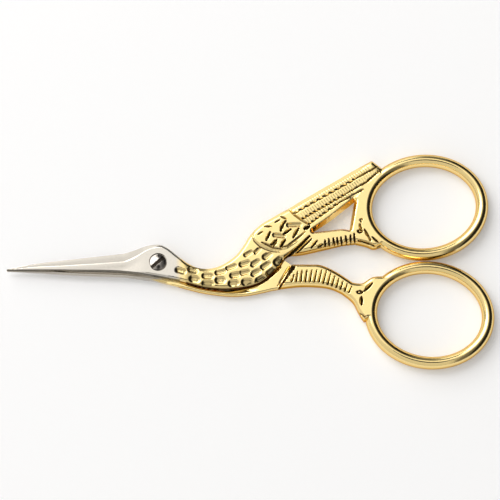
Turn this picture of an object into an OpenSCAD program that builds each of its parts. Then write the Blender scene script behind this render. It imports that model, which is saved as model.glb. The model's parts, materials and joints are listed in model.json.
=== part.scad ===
// Stork embroidery scissors, closed: two forged halves that cross at a slotted pivot screw.
// The shapes are drawn round the pivot axis, with Z = 0 in the plane where the halves slide on each
// other. X runs from the blade tips to the finger bows, and Z runs towards the screw's head.
// The finished part is moved so that it lies on Z = 0, centred over the origin.

/* [Stork] */
// Distance from the pivot axis to the end of the stork's tail
stork_length = 39.15; // [38:0.05:41]

/* [Blades] */
// Distance from the pivot axis to the tips
blade_length = 27.7; // [25:0.1:32]
// Thickness of one blade at its tip
tip_thickness = 0.4; // [0.3:0.05:0.6]
// Width of the bevel along each cutting edge
bevel_width = 1.1; // [0.6:0.05:1.3]
// Thickness that is left at the cutting edge
edge_thickness = 0.12; // [0.08:0.01:0.2]

/* [Halves] */
// Thickness of one half where the two halves lap
half_thickness = 1.5; // [1.3:0.05:2]
// Gap between the sliding faces
ride_gap = 0.04; // [0.02:0.01:0.1]
// Width of the rounded edge of a lapped half
lap_round = 0.5; // [0.3:0.05:0.6]
// Width of the rounded edge of the legs and the tail
leg_round = 0.75; // [0.4:0.05:0.9]

/* [Finger bows] */
// Half of the oval's length, to the middle of its rim
bow_half_length = 10.7; // [10:0.1:12]
// Half of the oval's width, to the middle of its rim
bow_half_width = 8.9; // [8.5:0.1:10]
// Width of the rim, seen from the front
rim_width = 2.25; // [2:0.05:2.6]
// How much further from the tips the lower bow stands than the upper one
bow_shift = 0.7; // [0:0.1:1]
// Gap between the two rims when the scissors are closed
bow_gap = 0.2; // [0.1:0.05:0.5]
// Angle that each oval leans away from the middle line
bow_tilt = 6.5; // [0:0.5:10]

/* [Pivot screw] */
// Diameter of the screw's head
head_d = 3.1; // [2.6:0.05:3.4]
// Height of the screw's head
head_h = 0.7; // [0.5:0.05:0.8]
// Height of the dome on the head
head_dome = 0.12; // [0.05:0.01:0.2]
// Diameter of the screw's shank
shank_d = 2; // [1.6:0.1:2.2]
// Width of the screwdriver slot
slot_width = 0.75; // [0.4:0.05:0.9]
// Depth of the screwdriver slot
slot_depth = 0.4; // [0.2:0.05:0.45]
// Angle of the slot when the screw is tight
slot_angle = 41; // [0:1:180]
// Radial clearance between the shank and its holes
shank_clearance = 0.03; // [0.02:0.01:0.08]
// Radial gap round the screw's head
head_clearance = 0.12; // [0.06:0.02:0.2]

/* [Relief] */
// Depth of the pressed scales, barbs and ribs
relief_depth = 0.35; // [0.2:0.05:0.5]
// Length of one scale
scale_length = 1.75; // [1.2:0.05:2]
// Width of one scale
scale_width = 0.8; // [0.5:0.02:0.9]
// Spacing of the scales across the body
scale_pitch = 1.55; // [1.3:0.05:2]
// How far every second row of scales is moved across the body
scale_stagger = 0.35; // [0:0.05:0.6]
// Spacing of the ribs along a leg
rib_pitch = 0.95; // [0.8:0.05:1.4]
// Width of the groove between two ribs or two tail feathers
groove_width = 0.4; // [0.25:0.05:0.6]

/* [Hidden] */
$fn = 48;

gold = [0.86, 0.68, 0.32];
nickel = [0.78, 0.77, 0.73];
steel = [0.55, 0.53, 0.51];

outline_steps = 4;      // pieces between two stations of an outline
arc_steps = 3;          // pieces in one rounded edge of the body and legs
blade_arc_steps = 2;    // pieces in one rounded edge of a blade
bow_steps = 64;         // pieces round a finger bow
rim_sides = 16;         // sides of the rim's section
edge_break = 0.06;      // corner that is taken off a sharp edge
spine_round = 0.2;      // rounding of the blades' blunt side
bevel_power = 1.2;      // shape of the bevel: 1 is flat, 2 is a quarter of a circle
ride_z = ride_gap / 2;
far = 60;               // longer than the part, for tables that run to its end
beyond = 1;             // how far a cut runs past the face it opens
web_step = 0.3;         // how far the web's faces lie below the rim's highest line
web_steps = 12;         // pieces of the web's edge inside the rim
dome_steps = 6;         // pieces of the dome on the screw's head
pocket_angles = [15:30:345];
feather_splits = [0.36, 0.64];  // where the tail's two grooves lie, as shares of its width
rib_span = [0.2, 0.8];          // where a rib begins and ends, as shares of the leg's width
rib_steps = 8;                  // pieces between two stations of a ribbed leg

// Stations of an outline, from the tips to the bows. Each one is a line across the half, from its
// upper edge to its lower edge. Blade stations give X as a share of the blade's length.
front_blade_stations = [
    [[-1.00, -1.05], [-1.00, -1.25]],
    [[-0.80, 0.00], [-0.80, -1.33]],
    [[-0.52, 0.95], [-0.52, -1.45]],
    [[-0.31, 1.62], [-0.31, -1.63]]];
front_head_stations = [
    [[-6.3, 1.90], [-6.3, -1.77]],
    [[-4.3, 2.42], [-4.3, -2.00]],
    [[-2.5, 3.02], [-2.5, -2.25]],
    [[-1.0, 3.32], [-1.0, -2.48]],
    [[0.5, 3.32], [0.4, -2.72]],
    [[1.9, 2.62], [1.7, -2.98]],
    [[3.1, 1.65], [2.9, -3.22]],
    [[4.2, 0.75], [4.0, -3.45]]];
front_neck_stations = [
    [[5.4, -0.15], [5.2, -3.75]],
    [[7.2, -0.95], [7.1, -4.25]],
    [[9.3, -1.12], [9.3, -4.68]],
    [[11.6, -0.45], [12.2, -4.90]]];
front_breast_stations = [
    [[14.0, 1.2], [15.5, -4.6]],
    [[15.5, 3.1], [18.2, -3.85]],
    [[16.8, 5.2], [20.4, -2.4]],
    [[18.7, 7.1], [22.2, -0.65]]];
leg_root_low = [23.7, 1.2];
leg_root_high = [27.6, 6.3];
wing_stations = [
    [[21.0, 8.55], leg_root_low],
    [[23.7, 10.15], (leg_root_low + leg_root_high) / 2],
    [[26.3, 11.75], leg_root_high]];
tail_stations = [
    [[29.2, 13.5], [29.6, 7.7]],
    [[32.9, 15.7], [32.4, 9.75]],
    [[36.1, 17.6], [35.1, 11.75]],
    [[39.15, 19.4], [36.7, 13.0]]];
front_leg_stations = [
    [leg_root_high, leg_root_low],
    [[29.0, 5.8], [27.0, 1.9]],
    [[31.4, 5.7], [30.6, 2.75]],
    [[33.7, 6.1], [33.6, 3.45]],
    [[35.4, 6.7], [36.0, 3.75]]];

back_blade_stations = [
    [[-1.00, -1.20], [-1.00, -1.48]],
    [[-0.80, -0.45], [-0.80, -1.75]],
    [[-0.52, 0.20], [-0.52, -2.23]],
    [[-0.31, 0.90], [-0.31, -2.45]]];
back_head_stations = [
    [[-6.3, 1.35], [-6.3, -2.55]],
    [[-4.3, 2.05], [-4.3, -2.73]],
    [[-2.5, 2.75], [-2.6, -2.92]],
    [[-1.0, 3.10], [-1.1, -3.12]],
    [[0.5, 3.10], [0.2, -3.38]],
    [[1.9, 2.50], [1.4, -3.62]],
    [[3.1, 1.55], [2.6, -3.92]],
    [[4.2, 0.65], [3.7, -4.20]]];
back_band_stations = [
    [[6.0, -0.75], [5.6, -4.72]],
    [[8.2, -1.45], [7.9, -5.30]],
    [[10.7, -1.65], [10.6, -5.75]],
    [[13.3, -1.25], [13.5, -5.98]],
    [[15.8, -0.55], [16.3, -5.82]],
    [[18.2, 0.4], [18.8, -5.35]],
    [[20.4, 0.9], [20.6, -4.92]],
    [[22.4, 0.9], [21.3, -4.80]],
    [[24.4, -0.3], [22.1, -4.66]]];
back_leg_stations = [
    [[24.4, -0.3], [22.1, -4.66]],
    [[27.4, -0.3], [25.8, -4.25]],
    [[29.8, -0.45], [29.0, -4.3]],
    [[32.6, -1.75], [31.4, -4.65]],
    [[35.5, -3.7], [33.4, -5.5]]];

// Edges of the webs between a leg's foot and its bow, on both sides of the foot.
front_web_low = [[40.8, 3.15], [39.3, 2.8], [38, 3.3]];
front_web_opening = [36.0, 9.8];
front_web_high = [41.15, 17.8];
back_web_low = [[37.5, -10.9], [36.5, -9.3], [35.4, -7.2]];
back_web_high = [[37.2, -3.8], [39, -2.7], [40.7, -2.5]];
front_web_arc = [130, 222];     // angles round the oval between which the web joins the rim
back_web_arc = [138, 190];

// The stations and web edges are drawn for one stork, and this makes them as long as stork_length.
drawn_scale = stork_length / last(tail_stations)[0][0];

// Distances from the pivot axis at which a section changes.
head_start = -4 * drawn_scale;          // the blade has its full thickness from here
bevel_fade = [-6, -3] * drawn_scale;    // the bevel narrows to the head's rounded edge
depth_fade = [-6.5, -3] * drawn_scale;  // and it gets less deep
lap_end = [22.7, 26.2] * drawn_scale;   // the front half thickens to the full thickness

// Tables of distance from the pivot axis and height, width or depth there.
blade_height = [[-blade_length, tip_thickness], [-blade_length / 2, 0.7 * half_thickness],
                [head_start, half_thickness], [far, half_thickness]];
blade_bevel = [[-blade_length, 0.1], [-0.8 * blade_length, 0.6 * bevel_width],
               [-0.35 * blade_length, bevel_width], [bevel_fade[0], bevel_width],
               [bevel_fade[1], lap_round], [far, lap_round]];
bevel_depth_share = [[depth_fade[0], 1], [depth_fade[1], 0.4], [far, 0.4]];
front_underside = [[lap_end[0], ride_z], [lap_end[1], -half_thickness]];

// Bows: each oval stands beside the middle line, with its near side on the foot of its leg.
bow_near_x = 38 * drawn_scale;
bow_middle_y = 0.52 * drawn_scale;
bow_rise = bow_gap / 2 + rim_width / 2 + bow_half_width;
front_bow_centre = [bow_near_x + bow_half_length, bow_middle_y + bow_rise];
back_bow_centre = [bow_near_x + bow_half_length + bow_shift, bow_middle_y - bow_rise];

function along(p, q, share) = p + (q - p) * share;
function curve(a, b, c, d, t) =
    (2 * b + (c - a) * t + (2 * a - 5 * b + 4 * c - d) * t * t
     + (3 * b - a - 3 * c + d) * t * t * t) / 2;
function pick(list, i) = list[min(max(i, 0), len(list) - 1)];
function smooth(list, steps = outline_steps) = concat(
    [for (i = [0:len(list) - 2]) for (s = [0:steps - 1])
        curve(pick(list, i - 1), pick(list, i), list[i + 1], pick(list, i + 2), s / steps)],
    [list[len(list) - 1]]);
function stretched(stations) = [for (s = stations) [for (p = s)
    [p[0] * blade_length, p[1] * drawn_scale]]];
function sized(stations) = stations * drawn_scale;
function sized_stations(stations) = [for (s = stations) s * drawn_scale];
function last(list) = list[len(list) - 1];
function station_x(s) = (s[0][0] + s[1][0]) / 2;
function station_width(s) = norm(s[1] - s[0]);

// One rounded corner of a section, as pairs of distance from the edge and depth below the face.
// A power of 2 gives a round corner and a power of 1 a straight bevel.
function corner(width, depth, power, steps) = [for (k = [0:steps])
    let (a = 90 * k / steps)
    [width * (1 - pow(cos(a), 2 / power)), depth * (1 - pow(sin(a), 2 / power))]];
function backwards(list) = [for (i = [len(list) - 1:-1:0]) list[i]];

// A closed ring of points across a station: [low edge, face] corners, then the upper edge's.
function ring(station, z0, z1, face_up, face_low, back_up, back_low) =
    let (up = station[0], low = station[1], across = (up - low) / norm(up - low))
    concat(
        [for (c = back_low) concat(low + across * c[0], z0 + c[1])],
        [for (c = face_low) concat(low + across * c[0], z1 - c[1])],
        [for (c = backwards(face_up)) concat(up - across * c[0], z1 - c[1])],
        [for (c = backwards(back_up)) concat(up - across * c[0], z0 + c[1])]);

module loft(rings) {
    n = len(rings[0]);
    last = len(rings) - 1;
    polyhedron(
        points = [for (r = rings) each r],
        faces = concat(
            [[for (i = [0:n - 1]) i]],
            [for (k = [0:last - 1]) for (i = [0:n - 1]) each let (j = (i + 1) % n) [
                [k * n + i, (k + 1) * n + i, (k + 1) * n + j],
                [k * n + i, (k + 1) * n + j, k * n + j]]],
            [[for (i = [n - 1:-1:0]) last * n + i]]));
}

// Sections. The back corners run from the face below to the wall, so they are turned round.
sharp = corner(edge_break, edge_break, 1, 1);
function round_edge(width) = corner(width, 1.2 * width, 2, arc_steps);
function blade_edge(s) =
    let (x = station_x(s), w = min(lookup(x, blade_bevel), 0.6 * station_width(s)),
         share = lookup(x, bevel_depth_share), h = lookup(x, blade_height))
    corner(w, share * (h - ride_z - edge_thickness), along(2, bevel_power, share), blade_arc_steps);
function blade_spine(s) =
    corner(min(spine_round, 0.3 * station_width(s)), spine_round, 2, blade_arc_steps);
function fine(s) = corner(min(edge_break, 0.1 * station_width(s)), edge_break, 1, 1);
function front_blade_ring(s) =
    ring(s, ride_z, lookup(station_x(s), blade_height), blade_edge(s), blade_spine(s),
         backwards(fine(s)), backwards(fine(s)));
function back_blade_ring(s) =
    ring(s, -lookup(station_x(s), blade_height), -ride_z, fine(s), fine(s),
         backwards(blade_spine(s)), backwards(blade_edge(s)));
function front_lap_ring(s) =
    ring(s, lookup(station_x(s), front_underside), half_thickness,
         round_edge(lap_round), round_edge(lap_round), backwards(sharp), backwards(sharp));
function back_lap_ring(s) =
    ring(s, -half_thickness, -ride_z, sharp, sharp,
         backwards(round_edge(lap_round)), backwards(round_edge(lap_round)));
function leg_ring(s) =
    ring(s, -half_thickness, half_thickness, round_edge(leg_round), round_edge(leg_round),
         backwards(round_edge(leg_round)), backwards(round_edge(leg_round)));

// Points round a bow. An oval's size is given to the middle of its rim.
function oval(centre, tilt, grow, a) =
    let (x = (bow_half_length + grow) * cos(a), y = (bow_half_width + grow) * sin(a))
    centre + [x * cos(tilt) - y * sin(tilt), x * sin(tilt) + y * cos(tilt)];
function rim_ring(centre, tilt, a) = [for (k = [0:rim_sides - 1])
    let (b = 360 * k / rim_sides)
    concat(oval(centre, tilt, rim_width / 2 * cos(b), a), half_thickness * sin(b))];

module bow_rim(centre, tilt) {
    rings = [for (s = [0:bow_steps - 1]) rim_ring(centre, tilt, 360 * s / bow_steps)];
    n = rim_sides;
    polyhedron(
        points = [for (r = rings) each r],
        faces = [for (k = [0:bow_steps - 1]) for (i = [0:n - 1]) each
            let (j = (i + 1) % n, m = (k + 1) % bow_steps) [
                [k * n + i, m * n + j, m * n + i],
                [k * n + i, k * n + j, m * n + j]]]);
}

// The rim and the flat web that joins it to the leg. The arc is the web's edge inside the rim.
module bow(centre, tilt, arc, web_edge) {
    bow_rim(centre, tilt);
    web_h = 2 * (half_thickness - web_step);
    translate([0, 0, -web_h / 2])
        linear_extrude(web_h)
            polygon(concat(web_edge, [for (s = [0:web_steps])
                oval(centre, tilt, 0, along(arc[0], arc[1], s / web_steps))]));
}

module screw_hole(z0, z1) {
    translate([0, 0, z0]) cylinder(h = z1 - z0, d = shank_d + 2 * shank_clearance);
}

// Relief. A scale is an oval pocket that points along the bird's neck.
module scale_pocket(at, turn) {
    translate([at[0], at[1], half_thickness - relief_depth])
        rotate([0, 0, turn])
            linear_extrude(2 * relief_depth)
                polygon([for (a = pocket_angles) [scale_length / 2 * cos(a),
                                                  scale_width / 2 * sin(a)]]);
}

module scales(stations) {
    for (k = [0:len(stations) - 1]) {
        up = stations[k][0];
        low = stations[k][1];
        width = norm(up - low) - 2 * lap_round;
        count = floor(width / scale_pitch);
        turn = atan2(up[1] - low[1], up[0] - low[0]) - 90;
        for (r = [0:count - 1])
            scale_pocket(along(low, up, 0.5 + (r - (count - 1) / 2) * scale_pitch / norm(up - low))
                         + [0, scale_stagger * (k % 2)], turn);
    }
}

// A straight groove in the face, from one point to another.
module groove(p, q) {
    long = norm(q - p);
    translate([p[0], p[1], half_thickness - relief_depth])
        rotate([0, 0, atan2(q[1] - p[1], q[0] - p[0])])
            translate([0, -groove_width / 2, 0]) cube([long, groove_width, 2 * relief_depth]);
}

// Ribs across a leg, between two of its fine stations.
module leg_ribs(stations, from, to) {
    fine_stations = smooth(stations, rib_steps);
    count = floor(norm(fine_stations[to][0] - fine_stations[from][0]) / rib_pitch);
    for (r = [0:count]) {
        s = fine_stations[from + floor((to - from) * r / count)];
        groove(along(s[1], s[0], rib_span[0]), along(s[1], s[0], rib_span[1]));
    }
}

module front_blade_shape() {
    s = concat(stretched(front_blade_stations), sized_stations(front_head_stations));
    difference() {
        loft([for (p = smooth(s)) front_blade_ring(p)]);
        screw_hole(-beyond, half_thickness + beyond);
        translate([0, 0, half_thickness - head_h])
            cylinder(h = head_h + beyond, d = head_d + 2 * head_clearance);
    }
}

module front_body_shape() {
    s = sized_stations(concat([last(front_head_stations)], front_neck_stations,
                              front_breast_stations, wing_stations, tail_stations));
    groove_ends = sized_stations([last(wing_stations), tail_stations[2]]);
    difference() {
        loft([for (p = smooth(s)) front_lap_ring(p)]);
        scales(sized_stations(concat(front_neck_stations, front_breast_stations)));
        for (share = feather_splits)
            groove(along(groove_ends[0][1], groove_ends[0][0], share),
                   along(groove_ends[1][1], groove_ends[1][0], share));
    }
}

module front_leg_shape() {
    s = sized_stations(front_leg_stations);
    difference() {
        loft([for (p = smooth(s)) leg_ring(p)]);
        leg_ribs(s, 10, 28);
    }
}

module front_bow_shape() {
    foot = last(front_leg_stations);
    tail_end = last(tail_stations);
    bow(front_bow_centre, bow_tilt, front_web_arc,
        sized(concat(front_web_low, [foot[1], foot[0], front_web_opening, tail_end[1], tail_end[0],
                                     front_web_high])));
}

module back_blade_shape() {
    s = concat(stretched(back_blade_stations), sized_stations(back_head_stations));
    difference() {
        loft([for (p = smooth(s)) back_blade_ring(p)]);
        screw_hole(-half_thickness - beyond, beyond);
    }
}

module back_body_shape() {
    s = sized_stations(concat([last(back_head_stations)], back_band_stations));
    loft([for (p = smooth(s)) back_lap_ring(p)]);
}

module back_leg_shape() {
    s = sized_stations(back_leg_stations);
    difference() {
        loft([for (p = smooth(s)) leg_ring(p)]);
        leg_ribs(s, 2, 28);
    }
}

module back_bow_shape() {
    foot = last(back_leg_stations);
    bow(back_bow_centre, -bow_tilt, back_web_arc,
        sized(concat(back_web_low, [foot[1], foot[0]], back_web_high)));
}

module pivot_screw_shape() {
    top = half_thickness;
    shank_h = 2 * half_thickness - head_h + ride_gap;
    difference() {
        union() {
            translate([0, 0, -half_thickness]) cylinder(h = shank_h, d = shank_d);
            translate([0, 0, top - head_h + ride_gap])
                rotate_extrude()
                    polygon(concat([[0, 0], [head_d / 2, 0]],
                        [for (k = [0:dome_steps]) let (a = 90 * k / dome_steps)
                            [head_d / 2 * cos(a), head_h - ride_gap + head_dome * sin(a)]]));
        }
        rotate([0, 0, slot_angle])
            translate([-head_d, -slot_width / 2, top + head_dome - slot_depth])
                cube([2 * head_d, slot_width, 2 * slot_depth]);
    }
}

// The box of the closed scissors, which places them on the origin.
bow_points = [for (k = [0:bow_steps - 1]) each [
    oval(front_bow_centre, bow_tilt, rim_width / 2, 360 * k / bow_steps),
    oval(back_bow_centre, -bow_tilt, rim_width / 2, 360 * k / bow_steps)]];
box_x = [-blade_length, max([for (p = bow_points) p[0]])];
box_y = [min([for (p = bow_points) p[1]]), max([for (p = bow_points) p[1]])];
module placed() {
    translate([-(box_x[0] + box_x[1]) / 2, -(box_y[0] + box_y[1]) / 2, half_thickness]) children();
}

module front_blade() { color(nickel) placed() front_blade_shape(); }
module front_body() { color(gold) placed() front_body_shape(); }
module front_leg() { color(gold) placed() front_leg_shape(); }
module front_bow() { color(gold) placed() front_bow_shape(); }
module back_blade() { color(nickel) placed() back_blade_shape(); }
module back_body() { color(gold) placed() back_body_shape(); }
module back_leg() { color(gold) placed() back_leg_shape(); }
module back_bow() { color(gold) placed() back_bow_shape(); }
module pivot_screw() { color(steel) placed() pivot_screw_shape(); }

front_blade();
front_body();
front_leg();
front_bow();
back_blade();
back_body();
back_leg();
back_bow();
pivot_screw();
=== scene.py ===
"""Stork embroidery scissors: two forged and plated halves that cross at a slotted pivot screw.

Shapes are drawn in millimetres round the pivot axis, with Z = 0 in the plane where the halves
slide on each other, and place() puts them in the frame, in metres.
"""

import json
import math
from types import SimpleNamespace

import bmesh
import bpy
import numpy as np
from bpy.props import FloatProperty, FloatVectorProperty, IntProperty, PointerProperty
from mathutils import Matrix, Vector
from mathutils.geometry import delaunay_2d_cdt
from mathutils.kdtree import KDTree


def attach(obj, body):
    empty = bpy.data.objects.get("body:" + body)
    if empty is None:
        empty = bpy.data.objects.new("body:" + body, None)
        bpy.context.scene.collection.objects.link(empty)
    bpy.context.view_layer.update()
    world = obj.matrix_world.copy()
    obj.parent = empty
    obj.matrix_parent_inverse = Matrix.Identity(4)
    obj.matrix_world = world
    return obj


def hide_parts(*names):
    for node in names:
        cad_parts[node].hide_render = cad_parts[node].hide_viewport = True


bl_info = {
    "name": "Stork Embroidery Scissors",
    "version": (1, 0, 0),
    "blender": (4, 5, 0),
    "location": "3D View > Sidebar > Scissors",
    "description": "Builds the plated halves, the finger bows, the pivot screw and the studio",
    "category": "Object",
}

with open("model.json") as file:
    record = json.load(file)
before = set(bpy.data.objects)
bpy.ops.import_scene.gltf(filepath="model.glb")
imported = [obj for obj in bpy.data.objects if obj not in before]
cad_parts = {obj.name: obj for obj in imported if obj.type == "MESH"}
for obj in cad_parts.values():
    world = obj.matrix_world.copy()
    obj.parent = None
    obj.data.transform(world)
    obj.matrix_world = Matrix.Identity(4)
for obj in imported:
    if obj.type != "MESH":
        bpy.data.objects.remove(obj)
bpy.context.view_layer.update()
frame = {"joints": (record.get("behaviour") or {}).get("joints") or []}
PIVOT = Vector(next(j["pos_m"] for j in frame["joints"] if j["name"] == "pivot"))
MM = 0.001


def linear(code):
    """Turns an sRGB hex value into linear red, green and blue."""
    parts = [int(code[i:i + 2], 16) / 255 for i in (1, 3, 5)]
    return tuple(c / 12.92 if c <= 0.04045 else ((c + 0.055) / 1.055) ** 2.4 for c in parts)


def place(x, y, z):
    """A point round the pivot, in millimetres, as a place in the frame."""
    return PIVOT + Vector((x, y, z)) * MM


def length(name, value, text):
    return FloatProperty(name=name, description=text, default=value * MM, min=0, unit="LENGTH")


def colour(name, code, text):
    return FloatVectorProperty(name=name, description=text, default=linear(code), size=3,
                               min=0, max=1, subtype="COLOR")


class ForgingSizes(bpy.types.PropertyGroup):
    half_thickness: length("Half thickness", 1.5, "Thickness of one half where the two lap")
    ride_gap: length("Ride gap", 0.04, "Gap between the sliding faces")
    tip_thickness: length("Tip thickness", 0.4, "Thickness of one blade at its tip")
    edge_thickness: length("Edge thickness", 0.12, "Thickness left at the cutting edge")
    hollow: length("Hollow", 0.1, "How far the ground bevel is hollowed")
    crown: length("Crown", 0.1, "How far the blade's face falls from the bevel to its spine")
    swell: length("Swell", 0.12, "How far the stork's face falls to its edges")
    lap_round: length("Lap rounding", 0.5, "Width of the rounded edge of a lapped half")
    leg_round: length("Leg rounding", 0.75, "Width of the rounded edge of the legs and the tail")
    draft: length("Draft", 0.75, "How far the walls of the opening lean in")


class ReliefSizes(bpy.types.PropertyGroup):
    scale_depth: length("Scale depth", 0.3, "Depth of the pressed scales")
    slot_depth: length("Slot depth", 0.38, "Depth of the deep slots in the wing")
    vane_depth: length("Vane depth", 0.2, "Depth of the grooves between the tail's vanes")
    rib_depth: length("Rib depth", 0.36, "Depth of the grooves across the legs")
    fine_step: length("Fine step", 0.09, "Spacing of the mesh under the relief")
    coarse_step: length("Coarse step", 0.18, "Spacing of the mesh on plain faces")


class BowSizes(bpy.types.PropertyGroup):
    half_length: length("Half length", 10.7, "Half of an oval's length, to the rim's middle")
    half_width: length("Half width", 8.9, "Half of an oval's width, to the rim's middle")
    rim_width: length("Rim width", 2.25, "Width of the rim, seen from the front")
    rim_height: length("Rim height", 3.0, "Height of the rim's section")
    path_steps: IntProperty(name="Path steps", description="Pieces round one bow", default=220)
    rim_sides: IntProperty(name="Rim sides", description="Sides of the rim's section", default=40)


class ScrewSizes(bpy.types.PropertyGroup):
    head_d: length("Head diameter", 3.1, "Diameter of the screw's head")
    head_h: length("Head height", 0.7, "Height of the head below its dome")
    dome: length("Dome", 0.26, "Height of the dome on the head")
    shank_d: length("Shank diameter", 2.0, "Diameter of the shank")
    slot_width: length("Slot width", 0.62, "Width of the screwdriver slot")
    slot_depth: length("Slot depth", 0.55, "Depth of the screwdriver slot")
    clearance: length("Clearance", 0.12, "Gap round the head")
    slot_angle: FloatProperty(name="Slot angle", description="Direction of the slot",
                              default=math.radians(41), subtype="ANGLE")


class Finishes(bpy.types.PropertyGroup):
    gold: colour("Gold plate", "#F7DC98", "Bright gold plate on the handles")
    gold_edge: colour("Gold at the edges", "#D9A45A", "Tint of the gold plate at a glancing angle")
    # The two dark colours below are what the pressed marks darken to: a tint in the grooves, and
    # painted shade along the edges where the halves lap, on the gold and on the nickel.
    old_gold: colour("Gold in the grooves", "#1B1105", "What stays in the deepest grooves")
    seam: colour("Dark seam", "#3A342C", "Shade and oil in the seam between the blades")
    nickel: colour("Nickel plate", "#D6CFC3", "Satin nickel plate on the blades")
    steel: colour("Screw steel", "#A39C94", "Turned steel of the pivot screw")


class Studio(bpy.types.PropertyGroup):
    camera_elevation: FloatProperty(name="Camera elevation", default=math.radians(76),
                                    description="Angle of the view above the table", subtype="ANGLE")
    picture_width: length("Picture width", 91.5, "Width that the picture takes in at the object")
    lens: FloatProperty(name="Lens", description="Focal length of the camera in millimetres",
                        default=200)
    floor: colour("Floor", "#EAE9E8", "White paper under the scissors")


# Stations of an outline, from the tips to the bows. Each one is a line across the half, from its
# upper edge to its lower edge.
FRONT_BLADE = [((-27.7, -1.05), (-27.7, -1.25)), ((-22.16, 0.00), (-22.16, -1.33)),
               ((-14.40, 0.95), (-14.40, -1.45)), ((-8.587, 1.62), (-8.587, -1.63))]
FRONT_HEAD = [((-6.3, 1.90), (-6.3, -1.77)), ((-4.3, 2.42), (-4.3, -2.00)),
              ((-2.5, 3.02), (-2.5, -2.25)), ((-1.0, 3.32), (-1.0, -2.48)),
              ((0.5, 3.32), (0.4, -2.72)), ((1.9, 2.62), (1.7, -2.98)),
              ((3.1, 1.65), (2.9, -3.22)), ((4.2, 0.75), (4.0, -3.45))]
FRONT_BODY = [((5.4, -0.15), (5.2, -3.75)), ((7.2, -0.95), (7.1, -4.25)),
              ((9.3, -1.12), (9.3, -4.68)), ((11.6, -0.45), (12.2, -4.90)),
              ((14.0, 1.2), (15.5, -4.6)), ((15.5, 3.1), (18.2, -3.85)),
              ((16.8, 5.2), (20.4, -2.4)), ((18.7, 7.1), (22.2, -0.65))]
LEG_ROOT_LOW = (23.7, 1.2)
WING_TOP = [(21.0, 8.55), (23.7, 10.15), (26.3, 11.75)]
TAIL_TOP = [(29.2, 13.5), (32.9, 15.7), (36.1, 17.6), (38.7, 19.12)]
FRONT_LEG_LOW = [LEG_ROOT_LOW, (27.0, 1.9), (30.6, 2.75), (33.6, 3.45), (36.0, 3.75)]
FRONT_WEB_LOW = [(38, 3.3), (39.3, 2.8), (40.8, 3.15)]
FRONT_WEB_HIGH = [(39.15, 19.3), (39.6, 19.05), (41.15, 17.8)]
FRONT_WEB_ARC = (222, 130)
# The opening between the tail and the upper leg, where its leaning walls meet at mid height.
OPENING = [[(28.4, 5.95), (31.6, 8.15), (35.9, 11.6)], [(35.9, 11.6), (35.4, 8.8), (35.0, 6.35)],
           [(35.0, 6.35), (33.7, 6.55), (31.4, 6.3), (28.4, 5.95)]]
# Where the front half is parted into its pieces.
LEG_ROOT = [LEG_ROOT_LOW, (27.0, 4.2), OPENING[0][0]]
UPPER_FOOT_LINE = [FRONT_LEG_LOW[-1], (35.6, 5.2), OPENING[2][0]]
TAIL_END = [OPENING[1][0], (37.2, 13.3), TAIL_TOP[-1]]
# The areas where marks are pressed and the mesh is fine.
FRONT_RELIEF = np.array([(4.4, -6), (4.4, 4), (14, 4), (20, 10), (36, 19.5), (39, 18.4),
                         (34.5, 11.8), (28, 7), (35, 6.6), (37, 9), (41, 3.5), (35, 2.5),
                         (23, 0), (20, -6)])
BACK_RELIEF = np.array([(22, -7), (22, 1), (40, 1), (40, -12)])

BACK_BLADE = [((-27.7, -1.20), (-27.7, -1.48)), ((-22.16, -0.45), (-22.16, -1.75)),
              ((-14.40, 0.20), (-14.40, -2.23)), ((-8.587, 0.90), (-8.587, -2.45))]
BACK_HEAD = [((-6.3, 1.35), (-6.3, -2.55)), ((-4.3, 2.05), (-4.3, -2.73)),
             ((-2.5, 2.75), (-2.6, -2.92)), ((-1.0, 3.10), (-1.1, -3.12)),
             ((0.5, 3.10), (0.2, -3.38)), ((1.9, 2.50), (1.4, -3.62)),
             ((3.1, 1.55), (2.6, -3.92)), ((4.2, 0.65), (3.7, -4.20))]
BACK_BAND = [((6.0, -0.75), (5.6, -4.72)), ((8.2, -1.45), (7.9, -5.30)),
             ((10.7, -1.65), (10.6, -5.75)), ((13.3, -1.25), (13.5, -5.98)),
             ((15.8, -0.55), (16.3, -5.82)), ((18.2, 0.4), (18.8, -5.35)),
             ((20.4, 0.9), (20.6, -4.92)), ((22.4, 0.9), (21.3, -4.80)),
             ((24.4, -0.3), (22.1, -4.66))]
BACK_LEG = [((24.4, -0.3), (22.1, -4.66)), ((27.4, -0.3), (25.8, -4.25)),
            ((29.8, -0.45), (29.0, -4.3)), ((32.6, -1.75), (31.4, -4.65)),
            ((35.5, -3.7), (33.4, -5.5))]
BACK_WEB_LOW = [(35.4, -7.2), (36.5, -9.3), (37.5, -10.9)]
BACK_WEB_HIGH = [(37.2, -3.8), (39, -2.7), (40.7, -2.5)]
BACK_WEB_ARC = (190, 138)

FRONT_BOW = {"centre": (48.7, 10.645), "tilt": 6.5}
BACK_BOW = {"centre": (49.4, -9.605), "tilt": -6.5}

# Places in the picture, in its pixels, that seen() turns into places on the front face.
PIVOT_SEEN = (158.4, 261.9)
MM_ACROSS = 0.183
MM_UP = 0.18866
BARB_PITCH = 1.02
BARB_WAY = np.array([0.62, -0.78])
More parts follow.
